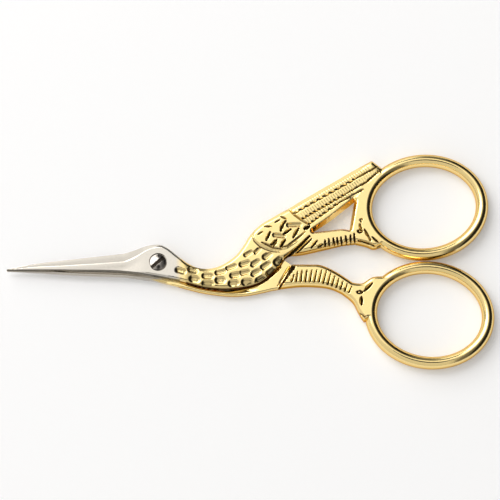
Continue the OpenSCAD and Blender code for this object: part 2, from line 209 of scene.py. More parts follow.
# Each scale: its middle, how it is turned, its length and its width in millimetres.
SCALES_SEEN = [
    (181.1, 270.6, -16, 2.1, 1.1), (193.2, 270.0, -12, 2.0, 1.0), (194.8, 279.0, -9, 2.1, 1.45),
    (208.0, 275.6, -3, 2.2, 1.15), (207.9, 283.4, 0, 2.3, 1.4), (220.6, 271.6, 14, 2.1, 1.0),
    (220.6, 279.8, 2, 2.1, 1.4), (231.3, 266.6, 20, 2.2, 0.95), (235.2, 274.6, 12, 2.1, 1.15),
    (233.7, 283.0, 3, 2.1, 1.35), (244.8, 263.2, 17, 2.2, 1.1), (244.8, 272.1, 12, 2.1, 1.05),
    (247.2, 281.6, 2, 2.2, 1.4), (248.3, 253.2, 30, 1.9, 0.85), (255.4, 262.6, 32, 2.1, 1.15),
    (255.8, 272.2, 28, 2.1, 1.2), (257.4, 250.3, 45, 1.7, 0.8), (261.0, 278.8, 30, 2.3, 1.35),
    (265.7, 265.2, 34, 2.2, 1.15), (267.2, 255.2, 36, 2.1, 1.2), (271.3, 271.4, 38, 2.3, 1.25),
    (278.7, 260.4, 42, 2.3, 1.45)]
WING_SLOTS_SEEN = [
    [(270, 232), (266.2, 240.2)],
    [(285.6, 220.9), (283.7, 223.2), (281.4, 227.4), (280.7, 230.8)],
    [(298.4, 228.3), (296.5, 231.6), (293.1, 237.5)],
    [(285.1, 239.6), (283, 242.1), (280.5, 246.8)],
    [(276.7, 239.6), (272.9, 243.4), (270.8, 244.5)],
    [(283.5, 234.1), (290.6, 229.1)]]
WING_POCKETS_SEEN = [[(288.5, 225), (299.5, 224.5)], [(274.5, 235), (283.5, 236)]]
WING_MARKS_SEEN = [
    [(257.8, 234.6), (262.8, 231.4)], [(264.1, 226.1), (271.7, 226.4)],
    [(275, 222.4), (280.1, 219.6)], [(280.5, 216), (286.4, 218.8)],
    [(277.1, 241.3), (272.9, 246.8)]]
SHIELD_SEEN = [
    (252.5, 233.5), (253.6, 237.5), (256.1, 241.7), (260.7, 245.1), (265.8, 247.2),
    (270.4, 249.3), (279, 250.2), (287, 248.5), (296, 243), (302, 236), (306, 229),
    (307, 223), (301, 219.5), (293, 213.5), (289, 209), (270, 212), (255, 222)]
SHIELD_RIM_SEEN = [(252.2, 236), (254.4, 241), (259.4, 245.6), (265.4, 248.8), (272, 251.2), (280, 252)]
NOTCH_SEEN = [(304.8, 228.6), (309, 226.4)]
SHIELD_GROOVES_SEEN = [
    [(261.6, 242.1), (269.6, 245.5), (273.4, 247.6), (281.8, 248.9)],
    [(281.8, 247.2), (288.1, 245.5), (294.4, 240.9), (300.7, 235.8), (304.9, 231.6)]]
VANE_ENDS_SEEN = [(290.6, 210.6), (293, 213.5), (301, 219.5), (307, 223)]
TAIL_GROOVES_SEEN = [
    {"line": [(293, 214), (378, 166)], "dashed_to": 355},
    {"line": [(302, 219), (368, 181), (382, 168.5)], "dashed_to": 345},
    {"line": [(308, 224.6), (323.7, 213.6), (339, 202.7), (363.3, 189.3)], "dashed_to": 338}]
TAIL_WEDGE_SEEN = [(350.5, 197.6), (358.6, 193.2)]
BODY_GROOVE_SEEN = [(309.2, 236.2), (297.5, 247.6), (290.2, 253.4), (285.6, 258.2)]
UPPER_LEG_GROOVES_SEEN = [
    [(311.4, 238.8), (300.3, 249.2), (297.2, 251.8)],
    [(317, 240.5), (311, 247.6)], [(318, 247), (322.5, 244)]]
UPPER_RIBS_SEEN = [
    [(324.9, 239.9), (325.2, 245.6)], [(328.6, 238.9), (329.2, 245.1)],
    [(333.3, 238.2), (334, 244.4)], [(337, 237.8), (337.6, 243.8)],
    [(340.8, 237), (341.6, 243.4)], [(345.6, 236), (346.3, 242.7)],
    [(350.3, 235), (350.5, 242)], [(354, 233.6), (354.5, 241.4)]]
LOWER_RIB_COUNT = 14
LOWER_RIB_TOPS_SEEN = [(293.8, 274.6), (299, 270), (325, 269.7), (350.8, 286)]
LOWER_RIB_FEET_SEEN = [(291.6, 280.6), (318, 280.9), (333, 285.4), (348.2, 291.6)]
UPPER_FOOT_SEEN = {
    "eye": (359.8, 231.2), "loop": (361.4, 220.2),
    "recesses": [[(364.4, 229.6), (370.3, 240.4)], [(359.8, 224.1), (360.4, 227.3), (361.6, 229.4)]],
    "lines": [[(371.9, 236.9), (377.6, 242)], [(357.9, 240), (367.4, 242.6), (374.2, 245.6)],
              [(376.7, 246.1), (380.8, 244.4), (383.5, 245)]]}
SHOULDER_SEEN = [(279.2, 286.8), (293, 266.8)]
SHOULDER_LINE_SEEN = [(277.6, 283.8), (289.4, 265)]
LOWER_FOOT_SEEN = {
    "eye": (359, 291.8),
    "recesses": [[(360.6, 296.6), (360.6, 304.2)], [(371.5, 282.8), (363.6, 290.6)]],
    "lines": [[(358.9, 312.1), (364.9, 316.5)]]}

# Rows of a place along X and a value there: where the blades are ground, how far the spines are
# rounded, how wide the bevels are, and where the stork's upper edge is chamfered.
GROUND = [(-6.5, 1), (-2.6, 0)]
SPINE = [(-27.7, 0.05), (-20, 0.12), (-4, 0.2)]
BEVEL_WIDTH = [(-27.7, 0.12), (-22, 0.74), (-18, 1.12), (-10.7, 1.6), (-6.1, 1.8), (-4.28, 1.42),
               (-2.45, 0.9), (-0.6, 0.55)]
CHAMFERED = [(-1.2, 1), (1, 0), (4, 0), (7, 1), (36.8, 1), (38.2, 0)]

# Sizes of the faces. Four numbers are where a shape starts, is whole, starts to end and has ended:
# along X, and for HOLLOW_GAPS from the cutting edge.
TAPER_FROM = -3
TAPER_LENGTH = 24.7
TAPER_POWER = 1.3
ROUND_DEPTH = 1.2
CHAMFER_WIDTH = 1.1
CHAMFER_DEPTH = 0.62
SPINE_CHAMFER = 0.6
SPINE_ROUND_FROM = 2
CROWN_WIDTH = 1.6
SWELL_WIDTH = 1.8
SHIELD_EDGE = 0.22
SHIELD_RISE = 0.16
SHIELD_RISES = (4.5, 7, 23, 27)
BAND_FALL = 0.22
BAND_FALLS = (3.5, 9, 13, 21)
HONED_HOLLOW = 0.07
HONED = (-27, -22, -4, -1)
HOLLOW_GAPS = (0.5, 0.62, 1.3, 2.4)
STEP_DOWN = (22.7, 26.2)
SHOULDER_WIDTH = 0.35
SHOULDER_DEPTH = 0.4
BORE_CLEARANCE = 0.03
RIM_TRIM = 0.02
SCREW_PROUD = 0.115
BRIM_ROUND = 0.1

# Where gold plate takes over from nickel, on the front and on the back half, and over how far. A
# pressed mark is gilt this much nearer the pivot.
GILT_FROM = (3.9, 0.6)
GILT_FADE = 0.9
GILT_IN_MARKS = 3.2

# How the mesh of a half is laid: rows of points beside its outlines, and a grid between them. Edges
# past the sharp angles, in degrees, aren't smoothed.
STEP = 0.14
RING_OFFSETS = (0.035, 0.09, 0.17, 0.27, 0.39)
RIDGE_SHARES = (0.5, 0.75, 0.88, 0.96, 1.0, 1.04, 1.12, 1.25)
BACK_RIDGE_SHARES = (0.75, 0.9, 1.0, 1.1, 1.25)
HONED_OFFSETS = (0.5, 0.56, 0.62, 0.7)
GRID_GAP = 0.5
FACES_SHARP = 38
SCREW_SHARP = 35

# The marks: the spacing of their points, the height of the layer that holds them, and their values
# with their units.
MARK_STEP = 0.04
LAYER = 10
MARK_VALUES = {"half_width": MM, "depth": MM, "wall": 1, "dull": 1}

# The studio: where the light comes from and where it doesn't, and what the camera looks at.
DARK_SIDE = (1.0, 0.24, 0.0)
BRIGHT_SIDE = (-0.3, 0.55, 0.78)
CAMERA_SHAPE = (0, -0.2, 0.98)
LOOKED_AT = Vector((0, 0.0021, 0.0015))
SOFTBOX_AT = (-0.5, 0.5, 0.71)
SOFTBOX_SIZE = 0.8
SOFTBOX_WATTS = 6.5
FLOOR_REACH = 1.5


def seen(places):
    """Places in the picture as points on the front face, in millimetres from the pivot."""
    return (np.asarray(places, float) - PIVOT_SEEN) * (MM_ACROSS, -MM_UP)


def in_mm(name):
    """A group of sizes with its lengths in millimetres and its other values as they are."""
    group = getattr(bpy.context.scene, name)
    out = SimpleNamespace()
    for key in type(group).__annotations__:
        is_length = group.bl_rna.properties[key].unit == "LENGTH"
        setattr(out, key, getattr(group, key) / MM if is_length else getattr(group, key))
    return out


# Curves and distances.

def curve(points, step=STEP):
    """Points at about one step along the smooth curve through the given ones."""
    points = np.asarray(points, float)
    out = []
    last = len(points) - 1
    for i in range(last):
        a, b, c, d = (points[min(max(k, 0), last)] for k in (i - 1, i, i + 1, i + 2))
        pieces = max(1, round(np.linalg.norm(c - b) / step))
        for t in np.arange(pieces) / pieces:
            out.append((2 * b + (c - a) * t + (2 * a - 5 * b + 4 * c - d) * t * t
                        + (3 * b - a - 3 * c + d) * t ** 3) / 2)
    return np.array([*out, points[-1]])


def straight(points, step=STEP):
    """Points at about one step along the straight lines between the given ones."""
    points = np.asarray(points, float)
    out = []
    for b, c in zip(points, points[1:]):
        pieces = max(1, round(np.linalg.norm(c - b) / step))
        out.extend(b + (c - b) * t for t in np.arange(pieces) / pieces)
    return np.array([*out, points[-1]])


def ring_of(points):
    """The line through the points and back to its first one."""
    return np.concatenate([points, points[:1]])


def joined(*lines):
    """One line from several, without the points that two of them share."""
    out = [lines[0]]
    for line in lines[1:]:
        shared = np.linalg.norm(out[-1][-1] - line[0]) < 1e-6
        out.append(line[1:] if shared else line)
    return np.concatenate(out)


def closed(line):
    """The line without a last point that repeats its first."""
    return line[:-1] if np.linalg.norm(line[0] - line[-1]) < 1e-6 else line


def left_of(ahead):
    """Unit vectors to the left of the given directions."""
    normal = np.stack([-ahead[:, 1], ahead[:, 0]], axis=1)
    return normal / np.linalg.norm(normal, axis=1)[:, None]


def distance(points, line, cyclic=False):
    """Distance from each point to a line, which is walked in very short steps."""
    path = straight(ring_of(line) if cyclic else line, 0.02)
    tree = KDTree(len(path))
    for k, (x, y) in enumerate(path):
        tree.insert((x, y, 0), k)
    tree.balance()
    return np.array([tree.find((x, y, 0))[2] for x, y in points])


def inside(points, *loops):
    """Whether each point lies inside an odd number of the loops."""
    odd = np.zeros(len(points), bool)
    batch = 4000
    for loop in loops:
        x0, y0 = loop.T
        x1, y1 = np.roll(loop, -1, axis=0).T
        rise = np.where(y1 == y0, 1e-12, y1 - y0)
        for first in range(0, len(points), batch):
            x, y = np.hsplit(points[first:first + batch], 2)
            spans = (y0 > y) != (y1 > y)
            cross = spans & (x < (x1 - x0) * (y - y0) / rise + x0)
            odd[first:first + batch] ^= cross.sum(axis=1) % 2 == 1
    return odd


def oval(bow, degrees):
    """Points on the middle line of a bow's rim."""
    sizes = in_mm("bow_sizes")
    a = np.radians(degrees)
    x, y = sizes.half_length * np.cos(a), sizes.half_width * np.sin(a)
    tilt = math.radians(bow["tilt"])
    return np.stack([bow["centre"][0] + x * math.cos(tilt) - y * math.sin(tilt),
                     bow["centre"][1] + x * math.sin(tilt) + y * math.cos(tilt)], axis=-1)


def circle(radius, count):
    a = np.arange(count) * 2 * math.pi / count
    return np.stack([radius * np.cos(a), radius * np.sin(a)], axis=1)


def smoothstep(low, high, value):
    t = np.clip((value - low) / (high - low), 0, 1)
    return t * t * (3 - 2 * t)


def between(value, ends):
    """0 up to the first of four ends, 1 from the second to the third, and 0 from the last."""
    return smoothstep(*ends[:2], value) * (1 - smoothstep(*ends[2:], value))


def table(x, rows):
    """A value read along X from rows of place and value."""
    return np.interp(x, *zip(*rows))


# A half is a sheet above and a sheet below over one outline, with walls between them.

def triangles(loops, seams, fine_areas=(), guides=()):
    """Fills the loops with triangles, which are fine in the fine areas. Seams are kept as edges,
    and guides are rows of points that the triangles follow."""
    sizes = in_mm("relief_sizes")
    outline = np.concatenate(loops)
    low, high = outline.min(axis=0), outline.max(axis=0)

    def to_edge(points):
        return np.min([distance(points, loop, True) for loop in loops], axis=0)

    grids = []
    for step, in_fine in ((sizes.fine_step, True), (sizes.coarse_step, False)):
        xs, ys = (np.arange(a, b, s) for a, b, s in zip(low, high, (step, step * 0.866)))
        grid = np.stack(np.meshgrid(xs, ys), axis=-1)
        grid[1::2, :, 0] += step / 2
        grid = grid.reshape(-1, 2)
        grid = grid[inside(grid, *loops)]
        grids.append(grid[inside(grid, *fine_areas) == in_fine])
    grid = np.concatenate(grids)
    keep = to_edge(grid) > GRID_GAP
    for line, clear in [*((seam, 0.04) for seam in seams), *((row, 0.06) for row in guides)]:
        keep &= distance(grid, line) > clear
    rows = []
    for loop in loops:
        normal = left_of(np.roll(loop, -1, axis=0) - np.roll(loop, 1, axis=0))
        for offset in RING_OFFSETS:
            ring = loop + normal * offset
            clear = (to_edge(ring) > offset * 0.97) & inside(ring, *loops)
            for seam in seams:
                clear &= distance(ring, seam) > 0.03
            rows.append(ring[clear])
    for row in guides:
        rows.append(row[(to_edge(row) > 0.02) & inside(row, *loops)])
    edges = []
    count = 0
    for k, line in enumerate([*loops, *seams]):
        ids = range(count, count + len(line))
        edges += zip(ids, [*ids[1:], ids[0]] if k < len(loops) else ids[1:])
        count += len(line)
    coords = np.concatenate([*loops, *seams, *rows, grid[keep]])
    verts, _, faces, *_ = delaunay_2d_cdt([Vector(p) for p in coords], edges, [], 0, 1e-5)
    verts = np.array([tuple(v) for v in verts])
    faces = np.array([f for f in faces if len(f) == 3])
    faces = faces[inside(verts[faces].mean(axis=1), *loops)]
    a, b, c = (verts[faces[:, k]] for k in range(3))
    turn = (b[:, 0] - a[:, 0]) * (c[:, 1] - a[:, 1]) - (b[:, 1] - a[:, 1]) * (c[:, 0] - a[:, 0])
    faces[turn < 0] = faces[turn < 0][:, ::-1]
    return verts, faces[np.abs(turn) > 1e-9]


def beside(line, widths, shares):
    """Rows of points right of a line, at shares of a width that changes along it."""
    right = -left_of(np.gradient(line, axis=0))
    return [line + right * (widths * share)[:, None] for share in shares]


def split(faces, verts, *areas):
    """The faces in each of the areas, and then those in none of them."""
    centres = verts[faces].mean(axis=1)
    left = np.ones(len(faces), bool)
    for area in areas:
        here = left & inside(centres, area)
        left &= ~here
        yield faces[here]
    yield faces[left]


def two_sheets(name, verts, faces, sheets, lines):
    """A closed mesh from a sheet above, the same sheet below and the walls along their edges. A
    sheet gives the height at points from the lines that bound the half."""
    used, faces = np.unique(faces, return_inverse=True)
    faces = faces.reshape(-1, 3)
    flat, count = verts[used], len(used)
    pairs = dict.fromkeys((a, b) for f in faces.tolist() for a, b in zip(f, f[1:] + f[:1]))
    walls = [(a + count, b + count, b, a) for a, b in pairs if (b, a) not in pairs]
    spots = np.concatenate([np.column_stack([flat, sheet(flat, *lines)]) for sheet in sheets])
    mesh = bpy.data.meshes.new(name)
    mesh.from_pydata((spots * MM + np.array(PIVOT)).tolist(), [],
                     faces.tolist() + (faces[:, ::-1] + count).tolist() + walls)
    side = mesh.attributes.new("side", "FLOAT", "POINT")
    side.data.foreach_set("value", [1.0] * count + [-1.0] * count)
    mesh.validate()
    return mesh


def edge_drop(gap, width, depth, power=2):
    """How far a face has dropped at a distance from an edge: power 2 rounds it, 1 bevels it."""
    t = np.clip(gap / np.maximum(width, 1e-6), 0, 1)
    return depth * (1 - (1 - (1 - t) ** power) ** (1 / power))


def add(tree, kind, values=None, **settings):
    """Adds a node with its settings. Values hold what its inputs are, or else the socket, or the
    node by its first output, that they are linked to."""
    node = tree.nodes.new(kind)
    for key, value in settings.items():
        setattr(node, key, value)
    for key, value in (values or {}).items():
        if isinstance(value, bpy.types.Node):
            value = value.outputs[0]
        if isinstance(value, bpy.types.NodeSocket):
            tree.links.new(value, node.inputs[key])
        else:
            node.inputs[key].default_value = value
    return node


def geometry_tree(name, inputs):
    """A Geometry Nodes tree, with its inputs by their kinds of socket, and what they give."""
    tree = bpy.data.node_groups.new(name, "GeometryNodeTree")
    for label, kind in {"Geometry": "Geometry", **inputs, "Material": "Material"}.items():
        tree.interface.new_socket(label, in_out="INPUT", socket_type="NodeSocket" + kind)
    tree.interface.new_socket("Geometry", in_out="OUTPUT", socket_type="NodeSocketGeometry")
    return tree, add(tree, "NodeGroupInput").outputs


def end_tree(tree, shape, material):
    """Ends a tree with real geometry in its material."""
    real = add(tree, "GeometryNodeRealizeInstances", {"Geometry": shape})
    dressed = add(tree, "GeometryNodeSetMaterial", {"Geometry": real, "Material": material})
    add(tree, "NodeGroupOutput", {"Geometry": dressed})


def modified(obj, tree_name, make_tree, **values):
    """Gives obj a modifier with a tree, and sets its inputs by the identifiers of their sockets."""
    if tree_name not in bpy.data.node_groups:
        make_tree(tree_name)
    modifier = obj.modifiers.new(tree_name, "NODES")
    modifier.node_group = bpy.data.node_groups[tree_name]
    for item in modifier.node_group.interface.items_tree:
        name = item.name.lower().replace(" ", "_")
        if item.item_type == "SOCKET" and item.in_out == "INPUT" and name in values:
            modifier[item.identifier] = values[name]


def linked(name, data):
    """A new object in the scene."""
    obj = bpy.data.objects.new(name, data)
    bpy.context.scene.collection.objects.link(obj)
    return obj


def baked(obj, name, sharp=None):
    """A plain, smooth object with the mesh that the modifiers of obj make, which is then deleted.
    Edges past the angle sharp, in degrees, stay sharp."""
    graph = bpy.context.evaluated_depsgraph_get()
    mesh = bpy.data.meshes.new_from_object(obj.evaluated_get(graph), depsgraph=graph)
    mesh.name = name
    bpy.data.meshes.remove(obj.data)
    mesh.shade_smooth()
    if sharp:
        mesh.set_sharp_from_angle(angle=math.radians(sharp))
    return linked(name, mesh)


# Marks pressed into a face: points along lines, each with its half width, depth and wall.

class Marks:
    """Points of the pressed marks. Side is 1 for the front faces and -1 for the back faces. Each
    row holds a place, a half width, a depth, how wide the walls are and how far it darkens the
    colour: a tint in the grooves, and painted shade along the edges where the halves lap."""

    def __init__(self):
        self.side = 1
        self.rows = []

    def line(self, points, half_width, depth, wall=1.0, taper=0.0, ends=1.0, dull=1.0, spread=0.0):
        """A groove along a line, narrower by the share taper at its ends, and by the share spread
        where it starts; its depth there is the share ends of what it is at the end."""
        path = straight(points, MARK_STEP)
        for k, p in enumerate(path):
            t = k / max(len(path) - 1, 1)
            bulge = (1 - taper * (2 * t - 1) ** 2) * (1 - spread * (1 - t))
            self.rows.append((*p, self.side * LAYER, half_width * bulge,
                              depth * (ends + (1 - ends) * t), wall, dull))

    def lines(self, lines_seen, half_width, depth, **shape):
        """A groove along each of several lines in the picture."""
        for places in lines_seen:
            self.line(seen(places), half_width, depth, **shape)

    def dashes(self, points, pitch, half_width, depth):
        """A row of slanted dashes on a thin groove, as between two barbed vanes."""
        path = straight(points, MARK_STEP)
        turn = (np.arange(len(path)) * MARK_STEP / pitch) % 1
        fat = np.sin(np.pi * np.clip(turn / 0.86, 0, 1)) ** 0.7
        for p, over, t, f in zip(path, left_of(np.gradient(path, axis=0)), turn, fat):
            spot = p + over * (0.43 - t) * 0.3 * (f > 0)
            self.rows.append((*spot, self.side * LAYER, half_width * (0.5 + 0.5 * f),
                              depth * (0.5 + 0.5 * f), 1.0, 0.45 + 0.55 * f))

    def pocket(self, centre, degrees, long, wide, depth):
        """A bowl with round ends and a nearly flat floor, deepest near its left end."""
        way = np.array([math.cos(math.radians(degrees)), math.sin(math.radians(degrees))])
        wide = wide * 1.14
        reach = way * (long * 1.1 - wide) / 2
        self.line([centre - reach, centre + reach], wide / 2, depth * 0.6, wall=0.62, ends=1.65,
                  dull=0.5)

    def helper(self, name):
        """The points as an object that the Geometry Nodes tree reads."""
        rows = np.array(self.rows)
        mesh = bpy.data.meshes.new(name)
        mesh.from_pydata((rows[:, :3] * MM + (PIVOT.x, PIVOT.y, 0)).tolist(), [], [])
        for values, (key, unit) in zip(rows.T[3:], MARK_VALUES.items()):
            mesh.attributes.new(key, "FLOAT", "POINT").data.foreach_set("value", values * unit)
        return linked(name, mesh)


def pressing_tree(name):
    """Geometry Nodes: presses the nearest mark into a half's upper or lower sheet."""
    tree, given = geometry_tree(name, {"Marks": "Object", "Layer": "Float"})
    marks = add(tree, "GeometryNodeObjectInfo", {"Object": given["Marks"]}).outputs["Geometry"]
    side = add(tree, "GeometryNodeInputNamedAttribute", {"Name": "side"})
    lifted = add(tree, "ShaderNodeMath", {0: side, 1: given["Layer"]}, operation="MULTIPLY")
    spot = add(tree, "ShaderNodeSeparateXYZ", {0: add(tree, "GeometryNodeInputPosition")}).outputs
    flat = add(tree, "ShaderNodeCombineXYZ", {"X": spot["X"], "Y": spot["Y"], "Z": lifted})
    nearest = add(tree, "GeometryNodeSampleNearest", {"Geometry": marks, "Sample Position": flat})
    found = {}
    for key in MARK_VALUES:
        field = add(tree, "GeometryNodeInputNamedAttribute", {"Name": key})
        found[key] = add(tree, "GeometryNodeSampleIndex",
                         {"Geometry": marks, "Value": field, "Index": nearest})
    where = add(tree, "GeometryNodeSampleIndex", data_type="FLOAT_VECTOR", values={
        "Geometry": marks, "Value": add(tree, "GeometryNodeInputPosition"), "Index": nearest})
    gap = add(tree, "ShaderNodeVectorMath", {0: flat, 1: where}, operation="DISTANCE")
    share = add(tree, "ShaderNodeMath", {0: gap.outputs["Value"], 1: found["half_width"]},
                operation="DIVIDE")
    within = add(tree, "ShaderNodeMath", {0: 1.0, 1: share}, operation="SUBTRACT")
    pressed = add(tree, "ShaderNodeMapRange", {"Value": within, "From Max": found["wall"]},
                  interpolation_type="SMOOTHSTEP")
    down = pressed
    for factor in (found["depth"], side, -1.0):
        down = add(tree, "ShaderNodeMath", {0: down, 1: factor}, operation="MULTIPLY")
    moved = add(tree, "GeometryNodeSetPosition", {
        "Geometry": given["Geometry"], "Offset": add(tree, "ShaderNodeCombineXYZ", {"Z": down})})
    # How far the mark darkens the colour, stored below: a tint in the grooves, and painted shade along
    # the edges where the halves lap.
    dull = add(tree, "ShaderNodeMath", {0: pressed, 1: found["dull"]}, operation="MULTIPLY")
    before = add(tree, "GeometryNodeInputNamedAttribute", {"Name": "pressed"})
    most = add(tree, "ShaderNodeMath", {0: before, 1: dull}, operation="MAXIMUM")
    stored = add(tree, "GeometryNodeStoreNamedAttribute",
                 {"Geometry": moved, "Name": "pressed", "Value": most})
    end_tree(tree, stored, given["Material"])


def claim(obj, body, slot, *nodes):
    """Makes a piece ride on its body and stand for its nodes. The slot is not used."""
    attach(obj, body)
    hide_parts(*nodes)


def half_pieces(body, verts, sheets, lines, helpers, rows):
    """Makes pieces of one half with their marks pressed in, one set after the other. Each row
    holds a name, the piece's faces, its plating and its node."""
    for name, faces, slot, node in rows:
        raw = linked(name + "_raw", two_sheets(name, verts, faces, sheets, lines))
        for marks in helpers:
            modified(raw, "Pressed marks", pressing_tree, marks=marks, layer=LAYER * MM,
                     material=nickel_plate() if slot == "nickel_plate" else gold_plate())
        claim(baked(raw, name, FACES_SHARP), body, slot, node)


# Materials.

def empty_tree(owner):
    """The node tree of a material or a world, without its nodes."""
    owner.use_nodes = True
    owner.node_tree.nodes.clear()
    return owner.node_tree


def metal(name, base, edge, rough, bump_mm, grain_mm):
    """A metal: its colour, its colour at a glancing angle and an uneven polish. It gives the
    material, its tree, its shader and the place that the patterns read."""
    material = bpy.data.materials.new(name)
    tree = empty_tree(material)
    spot = add(tree, "ShaderNodeTexCoord").outputs["Object"]
    uneven = add(tree, "ShaderNodeTexNoise",
                 {"Vector": spot, "Scale": 1 / (grain_mm * MM), "Detail": 4.0})
    gloss = add(tree, "ShaderNodeMapRange", {"Value": uneven, "From Min": 0.3, "From Max": 0.7,
                                             "To Min": rough * 0.75, "To Max": rough * 1.35})
    bump = add(tree, "ShaderNodeBump",
               {"Height": uneven, "Strength": 1.0, "Distance": bump_mm * MM})
    shader = add(tree, "ShaderNodeBsdfPrincipled",
                 {"Base Color": (*base, 1), "Metallic": 1.0, "Roughness": gloss, "Normal": bump,
                  "Specular Tint": (*edge, 1)})
    add(tree, "ShaderNodeOutputMaterial", {"Surface": shader})
    return material, tree, shader, add(tree, "ShaderNodeSeparateXYZ", {0: spot}).outputs


def plating(name, edge, rough, bump_mm, grain_mm):
    """Nickel plate that gives way to gold plate at the bird's neck, on the back half nearer the
    pivot. The pressed marks are darker and browner, and along the edges where the halves lap
    the nickel and the gold are darkened as painted shade."""
    if name in bpy.data.materials:
        return bpy.data.materials[name]
    finishes = bpy.context.scene.finishes
    material, tree, shader, spot = metal(name, finishes.gold, edge, rough, bump_mm, grain_mm)
    back = add(tree, "ShaderNodeMath", {0: spot["Z"], 1: PIVOT.z}, operation="LESS_THAN")
    line = add(tree, "ShaderNodeMapRange",
               {"Value": back, "To Min": PIVOT.x + GILT_FROM[0] * MM,
                "To Max": PIVOT.x + GILT_FROM[1] * MM})
    past = add(tree, "ShaderNodeMath", {0: spot["X"], 1: line}, operation="SUBTRACT")
    pressed = add(tree, "ShaderNodeAttribute", attribute_name="pressed").outputs["Fac"]
    kept = add(tree, "ShaderNodeMath", {0: pressed, 1: GILT_IN_MARKS * MM, 2: past},
               operation="MULTIPLY_ADD")
    gilt = add(tree, "ShaderNodeMapRange",
               {"Value": kept, "From Min": -GILT_FADE * MM, "From Max": GILT_FADE * MM},
               interpolation_type="SMOOTHSTEP")
    # The marks darken gold towards the dark gold and nickel towards the seam colour: a tint in the
    # grooves, and painted shade along the lapped edges.
    gold, silver = (
        add(tree, "ShaderNodeMix", {0: pressed, 6: (*bright, 1), 7: (*dark, 1)}, data_type="RGBA")
        for bright, dark in ((finishes.gold, finishes.old_gold), (finishes.nickel, finishes.seam)))
    both = add(tree, "ShaderNodeMix", {0: gilt, 6: silver.outputs[2], 7: gold.outputs[2]},
               data_type="RGBA")
    tree.links.new(both.outputs[2], shader.inputs["Base Color"])
    return material


def gold_plate():
    """Gold plate on nickel, barrel polished: bright, with a slightly uneven gloss."""
    edge = bpy.context.scene.finishes.gold_edge
    return plating("Gold plate, barrel polished", edge, rough=0.11, bump_mm=0.012, grain_mm=0.9)


def nickel_plate():
    """Nickel plate over ground steel: nearly white and satin."""
    return plating("Nickel plate, satin", (1, 1, 1), rough=0.17, bump_mm=0.003, grain_mm=0.5)


def screw_steel():
    """Turned and hardened steel: darker than nickel, and painted nearly black low on the head, as
    painted shade in the slot and the recess."""
    steel = bpy.context.scene.finishes.steel
    material, tree, shader, spot = metal("Turned steel", steel, (1, 1, 1), rough=0.17,
                                         bump_mm=0.006, grain_mm=0.3)
    # Painted shade: the steel turns nearly black below 1.1 mm above the ride plane, in the slot and
    # down the head's side.
    above_painted_shade = add(tree, "ShaderNodeMapRange", {
        "Value": spot["Z"], "From Min": PIVOT.z + 1.1 * MM, "From Max": PIVOT.z + 1.3 * MM})
    tint = add(tree, "ShaderNodeMix", {0: above_painted_shade, 6: (0.05, 0.04, 0.03, 1), 7: (*steel, 1)},
               data_type="RGBA")
    tree.links.new(tint.outputs[2], shader.inputs["Base Color"])
    return material


# The two halves.

def along(stations, side):
    """The points of stations on one side: 0 is the upper edge and 1 the lower one."""
    return [station[side] for station in stations]


def edge_line(points, web):
    """A smooth line through points, and on along the web of the bow."""
    return joined(curve(points), curve([points[-1], *web]))


def plating_line(head):
    """The line across a half where its plating changes, from its lower edge up."""
    return straight(head[-1][::-1])


def blade_area(head):
    """The area on the blade's side of the line where the plating changes."""
    return np.array([(-30, -9), (4, -9), *head[-1][::-1], (4, 9), (-30, 9)])


def bore():
    """The hole for the screw's shank, as a loop with the half on its left."""
    return circle(in_mm("screw_sizes").shank_d / 2 + BORE_CLEARANCE, 48)[::-1]


def bevel_width(x, rows=()):
    """Width of the ground bevel along a cutting edge, which ends in the head's rounding. It is
    averaged over 13 places, so that the ridge has no corners."""
    places = np.arange(BEVEL_WIDTH[0][0], 0, 0.1)
    widths = np.convolve(np.pad(table(places, BEVEL_WIDTH), 6, mode="edge"), np.ones(13) / 13,
                         mode="valid")
    return table(x, [*zip(places, widths), *rows])


def blade_height(x):
    """Thickness of a half from the tip to the head."""
    s = in_mm("forging")
    share = np.clip((TAPER_FROM - x) / TAPER_LENGTH, 0, 1) ** TAPER_POWER
    return s.half_thickness - (s.half_thickness - s.tip_thickness) * share


def front_top(p, upper, lower, opening):
    """Height of the front half's upper face."""
    s, screw = in_mm("forging"), in_mm("screw_sizes")
    full, lap, leg = s.half_thickness, s.lap_round, s.leg_round
    x = p[:, 0]
    face = blade_height(x)
    cut = bevel_width(x, [(3, lap), (20, lap), (27, leg)])
    ground = table(x, GROUND)
    deep = face - (s.ride_gap / 2 + s.edge_thickness)
    drop = ground * deep + (1 - ground) * ROUND_DEPTH * np.minimum(cut, leg)
    gap, low_gap = distance(p, upper), distance(p, lower)
    t = np.clip(gap / cut, 0, 1)
    bevel = drop * (1 - t) + s.hollow * np.sin(math.pi * t) * ground
    flat = table(x, CHAMFERED)
    chamfer = edge_drop(gap, cut * CHAMFER_WIDTH, CHAMFER_DEPTH * cut, 1)
    rounded = (1 - flat) * edge_drop(gap, cut, drop) + flat * chamfer
    high_edge = ground * bevel + (1 - ground) * rounded
    spine = table(x, [*SPINE, (-2, lap), (20, lap), (25, leg)])
    flat_spine = edge_drop(low_gap, spine * SPINE_CHAMFER, spine * SPINE_CHAMFER, 1)
    round_spine = edge_drop(low_gap, spine, spine * ROUND_DEPTH)
    low_edge = np.where(x < SPINE_ROUND_FROM, flat_spine, round_spine)
    wall = edge_drop(distance(p, opening, True), s.draft, full)
    crown = s.crown * ground * smoothstep(0, CROWN_WIDTH, gap - cut)
    swell = s.swell * np.clip(1 - np.minimum(gap, low_gap) / SWELL_WIDTH, 0, 1) ** 2
    shield = seen(SHIELD_SEEN)
    within = np.where(inside(p, shield), distance(p, shield, True), 0)
    sunk = SHIELD_RISE * (1 - smoothstep(0, SHIELD_EDGE, within)) * between(x, SHIELD_RISES)
    out = face - np.maximum(np.maximum(high_edge, low_edge), wall)
    out = out - crown - swell * table(x, [(4, 0), (7, 1)]) - sunk
    recess = screw.head_d / 2 + screw.clearance - 0.004
    return np.where(np.hypot(*p.T) < recess, full - screw.head_h, out)


